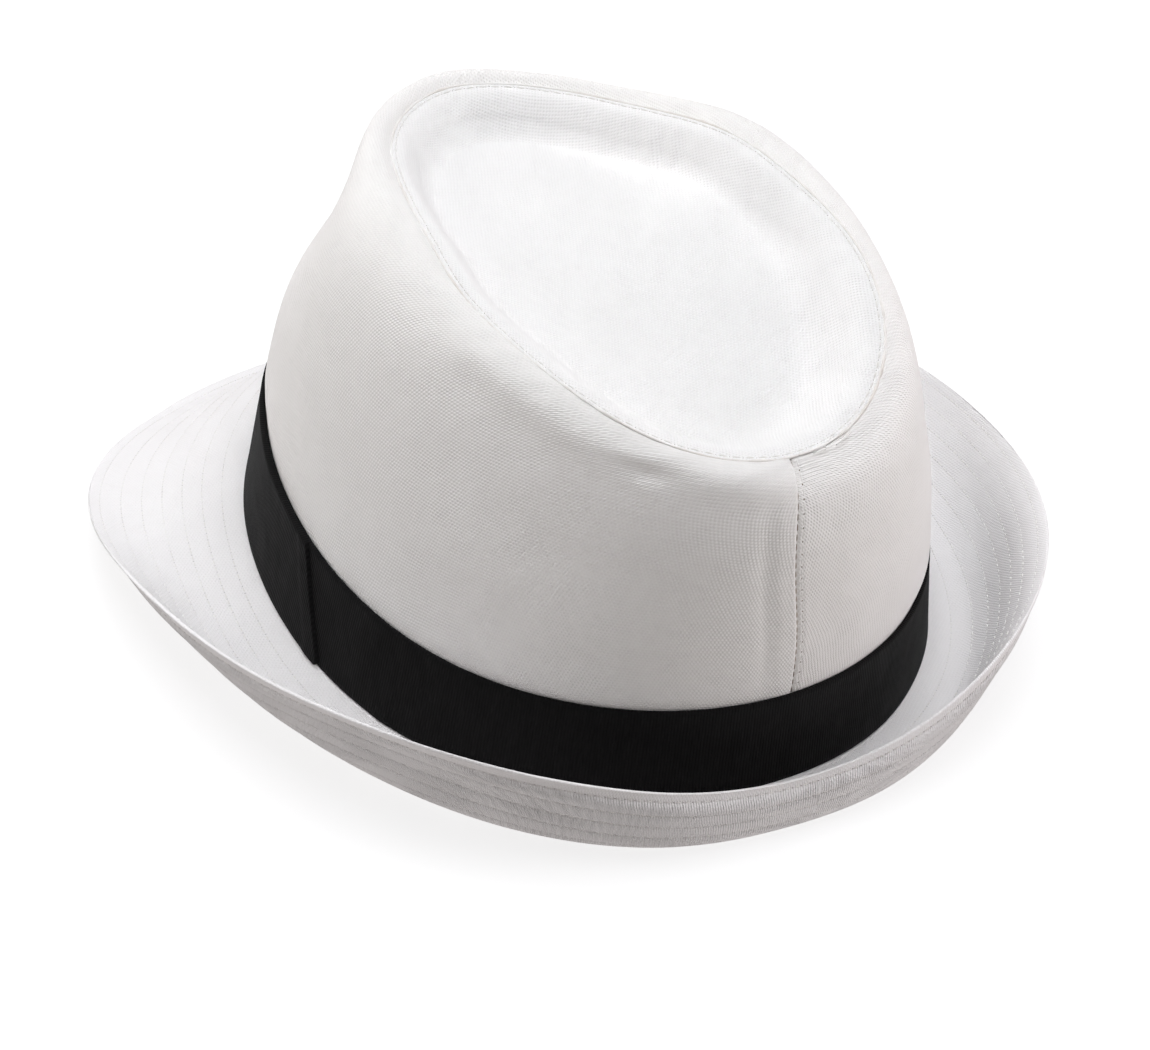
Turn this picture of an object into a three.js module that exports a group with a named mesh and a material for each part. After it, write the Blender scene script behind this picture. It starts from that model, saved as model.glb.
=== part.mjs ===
// White cotton trilby: a sewn crown with a dished teardrop top, a stitched brim and a black ribbon.
// Millimetres, +Z up. The front faces -Y, the back seam is at +Y, the wearer's left is +X.
import * as THREE from "three";

// Sizes that drive the rest
const headLength = 200.9; // over the ribbon, front to back
const headWidth = 175.1; // over the ribbon, side to side
const crownCloth = 1.5; // side wall, with its stiffening
const topCloth = 1.5;
const brimCloth = 2.4; // two faces and the layer between them
const ribbonCloth = 1.0;
const ribbonWidth = 26.9;
const sewnGap = 0.3; // clear space between two pieces that are sewn together
const seamAllowance = 1.9; // how far the brim runs in under the wall

// How the hat lies on a table: the front is lifted by the pitch, and the cloth flattens where it rests
const restPitch = 7.05;
const restHeight = 15.5;
const restCentre = -7.96;
const restSoftness = 0.4;

// Stations every 30 degrees from the front round to the back, the same on both sides of the hat.
// seamR, seamZ: sewn edge of the top. shoulder, crest: where the wall would corner, from that edge.
// lean: how far the ribbon leans in at its top. creaseZ: height of the crease at the brim.
// dishWide, dishDeep: the slope from the seam down to the floor of the top.
const crownStations = [
  { seamR: 97.0, seamZ: 83.4, shoulder: 15.0, crest: 1.9, lean: 0.2, creaseZ: 0.5, dishWide: 17, dishDeep: 9 },
  { seamR: 79.3, seamZ: 91.6, shoulder: 19.4, crest: 1.6, lean: 1.0, creaseZ: 1.4, dishWide: 14, dishDeep: 11 },
  { seamR: 55.8, seamZ: 101.1, shoulder: 21.2, crest: 1.0, lean: 2.8, creaseZ: 1.4, dishWide: 13, dishDeep: 13 },
  { seamR: 51.5, seamZ: 102.1, shoulder: 16.9, crest: 0.1, lean: 4.1, creaseZ: -1.5, dishWide: 14, dishDeep: 14 },
  { seamR: 57.6, seamZ: 102.7, shoulder: 12.6, crest: -0.8, lean: 4.1, creaseZ: -2.9, dishWide: 18, dishDeep: 14 },
  { seamR: 71.8, seamZ: 98.8, shoulder: 14.2, crest: -1.3, lean: 3.3, creaseZ: 0.1, dishWide: 21, dishDeep: 14 },
  { seamR: 81.4, seamZ: 94.3, shoulder: 16.5, crest: -1.4, lean: 2.8, creaseZ: 2.5, dishWide: 21, dishDeep: 13 },
];

// reach, rise: the brim's edge from the crease. start, end: slopes in degrees at the crease and the
// edge. pull: how far the brim keeps its first slope.
const brimStations = [
  { reach: 29.0, rise: -31.5, start: -10, end: -34, pull: 14 },
  { reach: 39.3, rise: -29.5, start: -14, end: -19, pull: 14 },
  { reach: 40.1, rise: -9.3, start: -19, end: 10, pull: 14 },
  { reach: 31.2, rise: 12.9, start: -25, end: 56, pull: 21 },
  { reach: 27.9, rise: 27.8, start: -28, end: 38, pull: 22 },
  { reach: 20.4, rise: 23.9, start: -32, end: 70, pull: 19 },
  { reach: 12.5, rise: 14.0, start: -38, end: 90, pull: 15 },
];
const edgePull = 14;

// The pinch on each side of the front
const pinch = { depth: 13.1, at: 27.5, spread: 24, height: 0.84, reach: 0.27 };
const floorHeight = 87; // middle of the sunken top
const ledge = 2; // flat strip inside the top seam
const shoulderStart = 0.5; // share of the wall's height where the shoulder begins to round

// The ribbon's ends overlap at the wearer's left
const lap = { at: 96, length: 22, step: 0.7, fade: 40 };

const segments = 72;
const degree = Math.PI / 180;

// A smooth curve round the hat through one column of a station table
function around(stations, column) {
  const last = stations.length - 1;
  const terms = stations.map((_, k) => {
    let sum = 0;
    stations.forEach((station, j) => {
      const share = j === 0 || j === last ? 0.5 : 1;
      sum += share * station[column] * Math.cos((Math.PI * k * j) / last);
    });
    return ((k === 0 || k === last ? 1 : 2) * sum) / last;
  });
  return (angle) => terms.reduce((total, term, k) => total + term * Math.cos(k * angle), 0);
}

const seamR = around(crownStations, "seamR");
const seamZ = around(crownStations, "seamZ");
const shoulder = around(crownStations, "shoulder");
const crest = around(crownStations, "crest");
const lean = around(crownStations, "lean");
const creaseZ = around(crownStations, "creaseZ");
const dishWide = around(crownStations, "dishWide");
const dishDeep = around(crownStations, "dishDeep");
const brimReach = around(brimStations, "reach");
const brimRise = around(brimStations, "rise");
const brimStart = around(brimStations, "start");
const brimEnd = around(brimStations, "end");
const brimPull = around(brimStations, "pull");

// Oval of the head, measured to the outside of the ribbon
function creaseR(angle) {
  const a = headLength / 2;
  const b = headWidth / 2;
  return (a * b) / Math.hypot(b * Math.cos(angle), a * Math.sin(angle));
}

function pinchDepth(angle, z) {
  const turned = Math.atan2(Math.sin(angle), Math.cos(angle));
  const side = Math.hypot(turned, 0.06);
  const across = (side - pinch.at * degree) / (pinch.spread * degree);
  const along = (z / seamZ(angle) - pinch.height) / pinch.reach;
  return pinch.depth * Math.exp(-across * across - along * along);
}

const point = (angle, r, z) => new THREE.Vector3(r * Math.sin(angle), -r * Math.cos(angle), z);
const mix = (from, to, t) => from + (to - from) * t;
const smooth = (t) => t * t * (3 - 2 * t);
const clamp = (t) => Math.min(1, Math.max(0, t));

// Radius of the top seam once the pinch has pushed it in
const seamEdge = (angle) => seamR(angle) - pinchDepth(angle, seamZ(angle));

// Outer face of the side wall: t is 0 at the brim and 1 at the top seam
function wallFace(angle, t) {
  const footR = creaseR(angle) - ribbonCloth - sewnGap;
  const footZ = creaseZ(angle) + sewnGap;
  const beltR = footR - lean(angle);
  const beltZ = creaseZ(angle) + ribbonWidth;
  const cornerR = seamR(angle) + shoulder(angle);
  const cornerZ = seamZ(angle) + crest(angle);
  const roundZ = mix(footZ, cornerZ, shoulderStart);
  const roundR = mix(beltR, cornerR, (roundZ - beltZ) / (cornerZ - beltZ));
  let r;
  let z;
  if (t < 0.25) {
    r = mix(footR, beltR, t / 0.25);
    z = mix(footZ, beltZ, t / 0.25);
  } else if (t < 0.4) {
    r = mix(beltR, roundR, (t - 0.25) / 0.15);
    z = mix(beltZ, roundZ, (t - 0.25) / 0.15);
  } else {
    const s = (t - 0.4) / 0.6;
    r = (1 - s) ** 2 * roundR + 2 * s * (1 - s) * cornerR + s * s * (seamR(angle) + sewnGap / 2);
    z = (1 - s) ** 2 * roundZ + 2 * s * (1 - s) * cornerZ + s * s * seamZ(angle);
  }
  return point(angle, r - pinchDepth(angle, z), z);
}

// Upper face of the top: t is 0 at the seam and 1 in the middle
function topFace(angle, t) {
  const edge = seamEdge(angle) - sewnGap / 2;
  const inward = edge * t;
  const slope = smooth(clamp((inward - ledge) / (dishWide(angle) - ledge)));
  const foldZ = seamZ(angle) - dishDeep(angle);
  const onFloor = clamp((inward - dishWide(angle)) / (edge - dishWide(angle)));
  const floorZ = mix(foldZ, floorHeight, onFloor * (2 - onFloor));
  return point(angle, edge - inward, mix(seamZ(angle), floorZ, slope));
}

// Upper face of the brim: t is 0 at the crease and 1 at the edge
function brimFace(angle, t) {
  const start = brimStart(angle) * degree;
  const end = brimEnd(angle) * degree;
  const reach = brimReach(angle);
  const rise = brimRise(angle);
  const curve = new THREE.CubicBezierCurve(
    new THREE.Vector2(0, 0),
    new THREE.Vector2(brimPull(angle) * Math.cos(start), brimPull(angle) * Math.sin(start)),
    new THREE.Vector2(reach - edgePull * Math.cos(end), rise - edgePull * Math.sin(end)),
    new THREE.Vector2(reach, rise),
  );
  const at = curve.getPoint(t);
  return point(angle, creaseR(angle) + at.x, creaseZ(angle) + at.y);
}

// Direction square to a face, from small steps along it and round it
function squareTo(face, angle, t) {
  const step = 1e-3;
  const low = Math.max(0, t - step);
  const high = Math.min(1, t + step);
  const round = face(angle + step, t).sub(face(angle - step, t));
  const along = face(angle, high).sub(face(angle, low));
  return round.cross(along).normalize();
}

// One ring of points; shift moves each point a distance square to the face
function ring(face, t, shift = 0, direction = null) {
  const points = [];
  for (let i = 0; i < segments; i += 1) {
    const angle = (i / segments) * 2 * Math.PI;
    const square = shift ? (direction ?? squareTo(face, angle, t)) : null;
    const at = face(angle, t);
    points.push(shift ? at.addScaledVector(square, shift) : at);
  }
  return points;
}

// Turns a point from the hat's own frame into the way it lies on a table
function laid(at) {
  const c = Math.cos(restPitch * degree);
  const s = Math.sin(restPitch * degree);
  return new THREE.Vector3(at.x, at.y * c + at.z * s - restCentre, at.z * c - at.y * s + restHeight);
}

// Height above a level that the cloth can't go below, with a soft turn just above it
function rested(z, level) {
  const over = z - level;
  if (over >= restSoftness) return z;
  if (over <= -restSoftness) return level;
  return level + (over + restSoftness) ** 2 / (4 * restSoftness);
}

// Closed body from rings that run once round its section. poles: the first and last ring are
// closed by a point each, for a piece with no hole in the middle.
function body(rings, poles = null) {
  const positions = rings.flat().flatMap((p) => [p.x, p.y, p.z]);
  const index = [];
  const count = rings.length;
  const steps = poles ? count - 1 : count;
  for (let k = 0; k < steps; k += 1) {
    const next = (k + 1) % count;
    for (let i = 0; i < segments; i += 1) {
      const j = (i + 1) % segments;
      const a = k * segments + i;
      const b = k * segments + j;
      const c = next * segments + i;
      const d = next * segments + j;
      index.push(a, b, d, a, d, c);
    }
  }
  if (poles) {
    const [first, last] = poles;
    const base = count * segments;
    positions.push(first.x, first.y, first.z, last.x, last.y, last.z);
    for (let i = 0; i < segments; i += 1) {
      const j = (i + 1) % segments;
      const end = (count - 1) * segments;
      index.push(base, j, i);
      index.push(base + 1, end + i, end + j);
    }
  }
  const geometry = new THREE.BufferGeometry();
  geometry.setAttribute("position", new THREE.Float32BufferAttribute(positions, 3));
  geometry.setIndex(index);
  geometry.computeVertexNormals();
  return geometry;
}

function piece(name, geometry, color, roughness) {
  const material = new THREE.MeshStandardMaterial({ color, roughness, metalness: 0 });
  const mesh = new THREE.Mesh(geometry, material);
  mesh.name = name;
  return mesh;
}

const down = new THREE.Vector3(0, 0, -1);

// Side wall: up the outer face, over the shoulder to the seam, and back down the inside
function crownSide() {
  const rows = [0, 0.12, 0.25, 0.33, 0.4, 0.47, 0.54, 0.61, 0.68, 0.75, 0.82, 0.89, 0.95, 1];
  const outer = rows.map((t) => ring(wallFace, t));
  const inner = rows.map((t) => {
    if (t === 1) return ring(wallFace, t, crownCloth, down);
    if (t === 0) return ring(wallFace, t).map((p) => p.multiply(footInset(p)));
    return ring(wallFace, t, -crownCloth);
  });
  return body([...outer, ...inner.reverse()].map((row) => row.map(laid)));
}

// Moves a foot point straight inwards by the cloth's thickness
function footInset(p) {
  const r = Math.hypot(p.x, p.y);
  const share = (r - crownCloth) / r;
  return new THREE.Vector3(share, share, 1);
}

// Top: from the middle out to the seam underneath, and back over the upper face
function crownTop() {
  const rows = [0.82, 0.64, 0.5, 0.38, 0.3, 0.23, 0.16, 0.1, 0.05, 0];
  const upper = rows.map((t) => ring(topFace, t));
  const lower = rows.map((t) => {
    if (t === 0) return ring(topFace, t, topCloth, down);
    return ring(topFace, t, -topCloth);
  });
  const middle = new THREE.Vector3(0, 0, floorHeight);
  const below = new THREE.Vector3(0, 0, floorHeight - topCloth);
  const rings = [...lower, ...upper.reverse()].map((row) => row.map(laid));
  return body(rings, [laid(below), laid(middle)]);
}

// Brim: from under the wall out to the edge, round the folded edge, and back underneath
function brim() {
  const rows = [0, 0.1, 0.2, 0.29, 0.37, 0.45, 0.53, 0.61, 0.7, 0.8, 0.9, 0.97];
  const inset = ribbonCloth + sewnGap + seamAllowance;
  const inner = ring(brimFace, 0).map((p) => {
    const share = 1 - inset / Math.hypot(p.x, p.y);
    return new THREE.Vector3(p.x * share, p.y * share, p.z);
  });
  const innerBelow = inner.map((p) => p.clone().addScaledVector(down, brimCloth));
  const upper = rows.map((t) => ring(brimFace, t));
  const lower = rows.map((t) => ring(brimFace, t, brimCloth));
  const edge = [0.15, 0.5, 0.85].map((share) => ring(brimFace, 1, brimCloth * share));
  const flat = (row, level) => row.map(laid).map((p) => p.setZ(rested(p.z, level)));
  const top = [inner, ...upper].map((row) => flat(row, brimCloth));
  const middle = edge.map((row, k) => flat(row, brimCloth * [0.85, 0.5, 0.15][k]));
  const bottom = [innerBelow, ...lower].map((row) => flat(row, 0));
  return body([...top, ...middle, ...bottom.reverse()].reverse());
}

// How much the ribbon stands out where its front end lies over the back one
function lapStep(angle) {
  const ahead = lap.at - angle / degree;
  if (ahead < 0 || ahead > lap.length + lap.fade) return 0;
  return lap.step * (1 - smooth(clamp((ahead - lap.length) / lap.fade)));
}

// Ribbon: outer face at the crease line below and leaning in with the wall above
function ribbonFace(angle, t) {
  const r = creaseR(angle) - lean(angle) * t + lapStep(angle);
  return point(angle, r, mix(creaseZ(angle) + sewnGap + 0.1, creaseZ(angle) + ribbonWidth, t));
}

function hatBand() {
  const rows = [0, 0.5, 1];
  const outer = rows.map((t) => ring(ribbonFace, t));
  const inner = rows.map((t) =>
    ring(ribbonFace, t).map((p, i) => {
      const angle = (i / segments) * 2 * Math.PI;
      const share = 1 - (ribbonCloth + lapStep(angle)) / Math.hypot(p.x, p.y);
      return new THREE.Vector3(p.x * share, p.y * share, p.z);
    }),
  );
  return body([...outer, ...inner.reverse()].map((row) => row.map(laid)));
}

const hat = new THREE.Group();
hat.name = "trilby";
hat.add(piece("crown_side", crownSide(), 0xf1efec, 0.9));
hat.add(piece("crown_top", crownTop(), 0xf4f2ef, 0.9));
hat.add(piece("brim", brim(), 0xefedea, 0.9));
hat.add(piece("hat_band", hatBand(), 0x101012, 0.8));

export default hat;
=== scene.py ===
import math

import bpy
import numpy as np
from mathutils import Matrix, Vector


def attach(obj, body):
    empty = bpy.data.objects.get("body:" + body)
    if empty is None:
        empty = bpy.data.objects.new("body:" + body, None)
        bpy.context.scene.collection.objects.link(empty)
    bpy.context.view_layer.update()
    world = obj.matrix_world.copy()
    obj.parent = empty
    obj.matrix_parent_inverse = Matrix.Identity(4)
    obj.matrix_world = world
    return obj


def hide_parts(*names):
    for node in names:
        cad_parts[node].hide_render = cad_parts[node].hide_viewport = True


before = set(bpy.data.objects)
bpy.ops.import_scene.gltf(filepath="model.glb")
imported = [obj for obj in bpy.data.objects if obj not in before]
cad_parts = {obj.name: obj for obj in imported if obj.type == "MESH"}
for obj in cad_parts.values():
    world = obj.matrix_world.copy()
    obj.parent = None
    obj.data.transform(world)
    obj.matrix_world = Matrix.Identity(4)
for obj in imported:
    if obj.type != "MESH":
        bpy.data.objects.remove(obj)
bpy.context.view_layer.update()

# White cotton trilby: dished top, side wall, stitched brim and black ribbon, with studio light and camera.
# The hat's own shapes are worked out in millimetres and turned to metres when a mesh is made.
# +Z is up, the front faces -Y, the back seam is at +Y and the wearer's left is +X.
toMetres = 0.001
degree = math.pi / 180

# The same driving sizes as the solids, apart from the sunken top, which is 3 to 4 mm shallower here
hatSizes = {
    "headLength": 200.9,      # over the ribbon, front to back
    "headWidth": 175.1,       # over the ribbon, side to side
    "crownCloth": 1.5,
    "topCloth": 1.5,
    "brimCloth": 2.4,
    "ribbonCloth": 1.0,
    "ribbonWidth": 26.9,
    "sewnGap": 0.3,
    "seamAllowance": 1.9,
    "floorHeight": 90.0,      # middle of the sunken top
    "ledge": 2.0,             # flat strip inside the top seam
    "shoulderStart": 0.5,
    "edgePull": 14.0,
    "restPitch": 7.05,        # how the hat lies on the table
    "restHeight": 15.5,
    "restCentre": -7.96,
    "restSoftness": 0.4,
}
pinch = {"depth": 13.1, "at": 27.5, "spread": 24.0, "height": 0.84, "reach": 0.27}

# Stations every 30 degrees from the front round to the back
crownStations = {
    "seamR": (97.0, 79.3, 55.8, 51.5, 57.6, 71.8, 81.4),
    "seamZ": (83.4, 91.6, 101.1, 102.1, 102.7, 98.8, 94.3),
    "shoulder": (15.0, 19.4, 21.2, 16.9, 12.6, 14.2, 16.5),
    "crest": (1.9, 1.6, 1.0, 0.1, -0.8, -1.3, -1.4),
    "lean": (0.2, 1.0, 2.8, 4.1, 4.1, 3.3, 2.8),
    "creaseZ": (0.5, 1.4, 1.4, -1.5, -2.9, 0.1, 2.5),
    "dishWide": (17, 14, 13, 14, 18, 21, 21),
    "dishDeep": (7, 8.5, 9.5, 10, 10.5, 11, 10.5),
}
brimStations = {
    "reach": (29.0, 39.3, 40.1, 31.2, 27.9, 20.4, 12.5),
    "rise": (-31.5, -29.5, -9.3, 12.9, 27.8, 23.9, 14.0),
    "start": (-10, -14, -19, -25, -28, -32, -38),
    "end": (-34, -19, 10, 56, 38, 70, 90),
    "pull": (14, 14, 14, 21, 22, 19, 15),
}


def around(values):
    # smooth curve round the hat through one row of stations, the same on both sides
    last = len(values) - 1
    share = np.ones(last + 1)
    share[[0, last]] = 0.5
    steps = np.arange(last + 1)
    terms = []
    for k in range(last + 1):
        total = (share * np.array(values, float) * np.cos(np.pi * k * steps / last)).sum()
        terms.append(total * (1 if k in (0, last) else 2) / last)
    return lambda angle: sum(term * np.cos(k * angle) for k, term in enumerate(terms))


crownAt = {name: around(values) for name, values in crownStations.items()}
brimAt = {name: around(values) for name, values in brimStations.items()}


def placed(angle, r, z):
    return np.stack(np.broadcast_arrays(r * np.sin(angle), -r * np.cos(angle), z), axis=-1)


def mix(low, high, t):
    return low + (high - low) * t


def smooth(t):
    t = np.clip(t, 0, 1)
    return t * t * (3 - 2 * t)


def bell(x, width):
    return np.exp(-((x / width) ** 2))


def between(x, start, rise, end, fall):
    # 1 from start to end, with soft sides
    return smooth((x - start) / rise) * (1 - smooth((x - end) / fall))


def unit(ways):
    return ways / (np.linalg.norm(ways, axis=-1, keepdims=True) + 1e-12)


def creaseR(angle):
    a = hatSizes["headLength"] / 2
    b = hatSizes["headWidth"] / 2
    return a * b / np.hypot(b * np.cos(angle), a * np.sin(angle))


def pinchDepth(angle, z):
    turned = np.arctan2(np.sin(angle), np.cos(angle))
    across = (np.hypot(turned, 0.06) - pinch["at"] * degree) / (pinch["spread"] * degree)
    along = (z / crownAt["seamZ"](angle) - pinch["height"]) / pinch["reach"]
    return pinch["depth"] * np.exp(-across * across - along * along)


def seamEdge(angle):
    return crownAt["seamR"](angle) - pinchDepth(angle, crownAt["seamZ"](angle))


def wallFace(angle, t):
    # outer face of the side wall: t is 0 at the brim and 1 at the top seam
    gap = hatSizes["sewnGap"]
    footR = creaseR(angle) - hatSizes["ribbonCloth"] - gap
    footZ = crownAt["creaseZ"](angle) + gap
    beltR = footR - crownAt["lean"](angle)
    beltZ = crownAt["creaseZ"](angle) + hatSizes["ribbonWidth"]
    cornerR = crownAt["seamR"](angle) + crownAt["shoulder"](angle)
    cornerZ = crownAt["seamZ"](angle) + crownAt["crest"](angle)
    roundZ = mix(footZ, cornerZ, hatSizes["shoulderStart"])
    roundR = mix(beltR, cornerR, (roundZ - beltZ) / (cornerZ - beltZ))
    low = np.clip(t / 0.25, 0, 1)
    middle = np.clip((t - 0.25) / 0.15, 0, 1)
    s = np.clip((t - 0.4) / 0.6, 0, 1)
    r = np.where(t < 0.25, mix(footR, beltR, low), mix(beltR, roundR, middle))
    z = np.where(t < 0.25, mix(footZ, beltZ, low), mix(beltZ, roundZ, middle))
    topR = (1 - s) ** 2 * roundR + 2 * s * (1 - s) * cornerR + s * s * (crownAt["seamR"](angle) + gap / 2)
    topZ = (1 - s) ** 2 * roundZ + 2 * s * (1 - s) * cornerZ + s * s * crownAt["seamZ"](angle)
    r = np.where(t < 0.4, r, topR)
    z = np.where(t < 0.4, z, topZ)
    return placed(angle, r - pinchDepth(angle, z), z)


def topFace(angle, t):
    # upper face of the top: t is 0 at the seam and 1 in the middle
    edge = seamEdge(angle) - hatSizes["sewnGap"] / 2
    inward = edge * t
    wide = crownAt["dishWide"](angle)
    slope = smooth((inward - hatSizes["ledge"]) / (wide - hatSizes["ledge"]))
    onFloor = np.clip((inward - wide) / (edge - wide), 0, 1)
    foldZ = crownAt["seamZ"](angle) - crownAt["dishDeep"](angle)
    floorZ = mix(foldZ, hatSizes["floorHeight"], onFloor * (2 - onFloor))
    return placed(angle, edge - inward, mix(crownAt["seamZ"](angle), floorZ, slope))


def brimFace(angle, t):
    # upper face of the brim: t is 0 at the crease and 1 at the edge
    start = brimAt["start"](angle) * degree
    end = brimAt["end"](angle) * degree
    reach, rise, pull = (brimAt[name](angle) for name in ("reach", "rise", "pull"))
    out1, up1 = pull * np.cos(start), pull * np.sin(start)
    out2 = reach - hatSizes["edgePull"] * np.cos(end)
    up2 = rise - hatSizes["edgePull"] * np.sin(end)
    one, two, three = 3 * t * (1 - t) ** 2, 3 * t * t * (1 - t), t ** 3
    out = one * out1 + two * out2 + three * reach
    up = one * up1 + two * up2 + three * rise
    return placed(angle, creaseR(angle) + out, crownAt["creaseZ"](angle) + up)


def laid(points):
    # from the hat's own frame to the way it lies on the table
    c = math.cos(hatSizes["restPitch"] * degree)
    s = math.sin(hatSizes["restPitch"] * degree)
    x, y, z = points[..., 0], points[..., 1], points[..., 2]
    across = y * c + z * s - hatSizes["restCentre"]
    return np.stack([x, across, z * c - y * s + hatSizes["restHeight"]], axis=-1)


def rested(points, level):
    # cloth flattened where it lies on the table
    soft = hatSizes["restSoftness"]
    over = points[..., 2] - level
    turn = level + (over + soft) ** 2 / (4 * soft)
    z = np.where(over >= soft, points[..., 2], np.where(over <= -soft, level, turn))
    return np.concatenate([points[..., :2], z[..., None]], axis=-1)


# Grids of points on the faces. Columns go round the hat from the back seam over the front to the back
# seam again, and both ends are kept, so that the last column lies on the first one.
def evenT(face, angles, share):
    # t of each row so that the rows lie at these shares of the length along the cloth, from t = 0
    fine = np.linspace(0, 1, 260)
    length = lengthAlong(face(angles[None, :], fine[:, None]))
    rows = [np.interp(share * length[-1, i], length[:, i], fine) for i in range(len(angles))]
    return np.stack(rows, axis=1), length[-1]


def squareTo(face, angle, rows, step=1e-3):
    turn = face(angle + step, rows) - face(angle - step, rows)
    along = face(angle, np.clip(rows + step, 0, 1)) - face(angle, np.clip(rows - step, 0, 1))
    return unit(np.cross(turn, along))


def gridSquares(points):
    # directions square to a finished grid that closes on itself
    ring = points[:, :-1]
    turn = np.roll(ring, -1, axis=1) - np.roll(ring, 1, axis=1)
    square = unit(np.cross(turn, np.gradient(ring, axis=0)))
    return np.concatenate([square, square[:, :1]], axis=1)


def lengthAlong(points):
    # length from the first row to each row
    steps = np.linalg.norm(np.diff(points, axis=0), axis=-1)
    return np.concatenate([np.zeros((1,) + steps.shape[1:]), np.cumsum(steps, axis=0)])


def lengthRound(points):
    return lengthAlong(points.swapaxes(0, 1)).T


def ripple(x, y, seed, waves=7):
    # smooth unevenness from a few crossing waves, the same on every run
    pick = np.random.default_rng(seed)
    total = 0
    for _ in range(waves):
        way = pick.uniform(0, 2 * math.pi)
        size = pick.uniform(0.6, 1.7)
        total = total + np.sin(size * (x * math.cos(way) + y * math.sin(way)) + pick.uniform(0, 6.28))
    return total / math.sqrt(waves)


def roundAbout(angle, size, radius=80.0):
    # place on a ring round the hat in units of a size in mm, so that unevenness has no join at the back
    return radius * np.sin(angle) / size, radius * np.cos(angle) / size


def drawnIn(angle, fromSeam, size, slant, seed, reach):
    # puckers that run in from a seam and fade
    x, y = roundAbout(angle, size)
    return ripple(x, y + fromSeam * slant, seed) * np.exp(-fromSeam / reach)


def onceRound(columns):
    return np.linspace(-math.pi, math.pi, columns + 1)


def fewRows(count, step):
    # every few rows of a grid and its last one, for the face that is hardly seen
    return np.unique(np.concatenate([np.arange(0, count, step), [count - 1]]))


def lineAt(values, places, points):
    # points of a line at these lengths along it
    return np.stack([np.interp(values, places, points[:, c]) for c in range(3)], axis=-1)


def addObject(name, data):
    made = bpy.data.objects.new(name, data)
    bpy.context.scene.collection.objects.link(made)
    return made


def newPiece(name, points, faces, materials):
    mesh = bpy.data.meshes.new(name)
    mesh.from_pydata((np.asarray(points) * toMetres).tolist(), [], faces)
    mesh.polygons.foreach_set("use_smooth", [True] * len(mesh.polygons))
    for material in materials:
        mesh.materials.append(material)
    mesh.update()
    return addObject(name, mesh)


def gridCorners(k, i, after, beside, width):
    return np.stack([k * width + i, k * width + beside, after * width + beside, after * width + i], axis=-1)


def clothShell(name, rings, maps, material, poles=None):
    # closed sheet of cloth from rings of points that run once round its section
    rings = np.asarray(rings)
    count, columns = rings.shape[0], rings.shape[1] - 1
    points = rings[:, :-1].reshape(-1, 3)
    k, i = np.meshgrid(np.arange(count if poles is None else count - 1), np.arange(columns), indexing="ij")
    k, i = k.ravel(), i.ravel()
    after, beside = (k + 1) % count, (i + 1) % columns
    faces = gridCorners(k, i, after, beside, columns).tolist()
    # the same corners on the maps, where the last column has its own place
    wide = columns + 1
    cornerList = [gridCorners(k, i, after, i + 1, wide).ravel()]
    mapRings = {key: np.asarray(value).reshape(-1, 2) for key, value in maps.items()}
    if poles is not None:
        points = np.concatenate([points, np.asarray(poles, float)])
        first, last = len(points) - 2, len(points) - 1
        base = (count - 1) * columns
        fan = []
        for n in range(columns):
            beyond = (n + 1) % columns
            faces.append([first, beyond, n])
            faces.append([last, base + n, base + beyond])
            lastRow = (count - 1) * wide
            fan += [count * wide, n + 1, n, count * wide + 1, lastRow + n, lastRow + n + 1]
        cornerList.append(np.array(fan))
        mapRings = {key: np.concatenate([value, np.zeros((2, 2))]) for key, value in mapRings.items()}
    piece = newPiece(name, points, faces, [material])
    order = np.concatenate(cornerList)
    for key, value in mapRings.items():
        layer = piece.data.uv_layers.new(name=key)
        layer.data.foreach_set("uv", value[order].astype(np.float32).ravel())
    return piece


def ringsAbout(line, radius, first, second, sides):
    # a ring of corners about each point of a line
    turn = np.arange(sides) / sides * 2 * math.pi
    away = first[:, None] * np.cos(turn)[None, :, None] + second[:, None] * np.sin(turn)[None, :, None]
    return line[:, None] + np.reshape(radius, (-1, 1, 1)) * away


def tubeFaces(base, rings, sides):
    # walls and ends of a tube whose corners start at this number
    faces = []
    for low in range(base, base + (rings - 1) * sides, sides):
        for s in range(sides):
            after = (s + 1) % sides
            faces.append((low + s, low + after, low + sides + after, low + sides + s))
    faces.append(tuple(base + s for s in reversed(range(sides))))
    faces.append(tuple(base + (rings - 1) * sides + s for s in range(sides)))
    return faces


# Parts of every stitch, in mm
stitchLook = {
    "sides": 5,
    "bends": 5,
    "thinEnds": 0.45,      # share of the thread's radius where it dips in
    "pitSides": 6,
    "pitDepth": 0.3,
    "pitNarrow": 0.8,      # width to length, and top to foot
    "reach": 0.05,         # how far apart the line's direction is read
}


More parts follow.
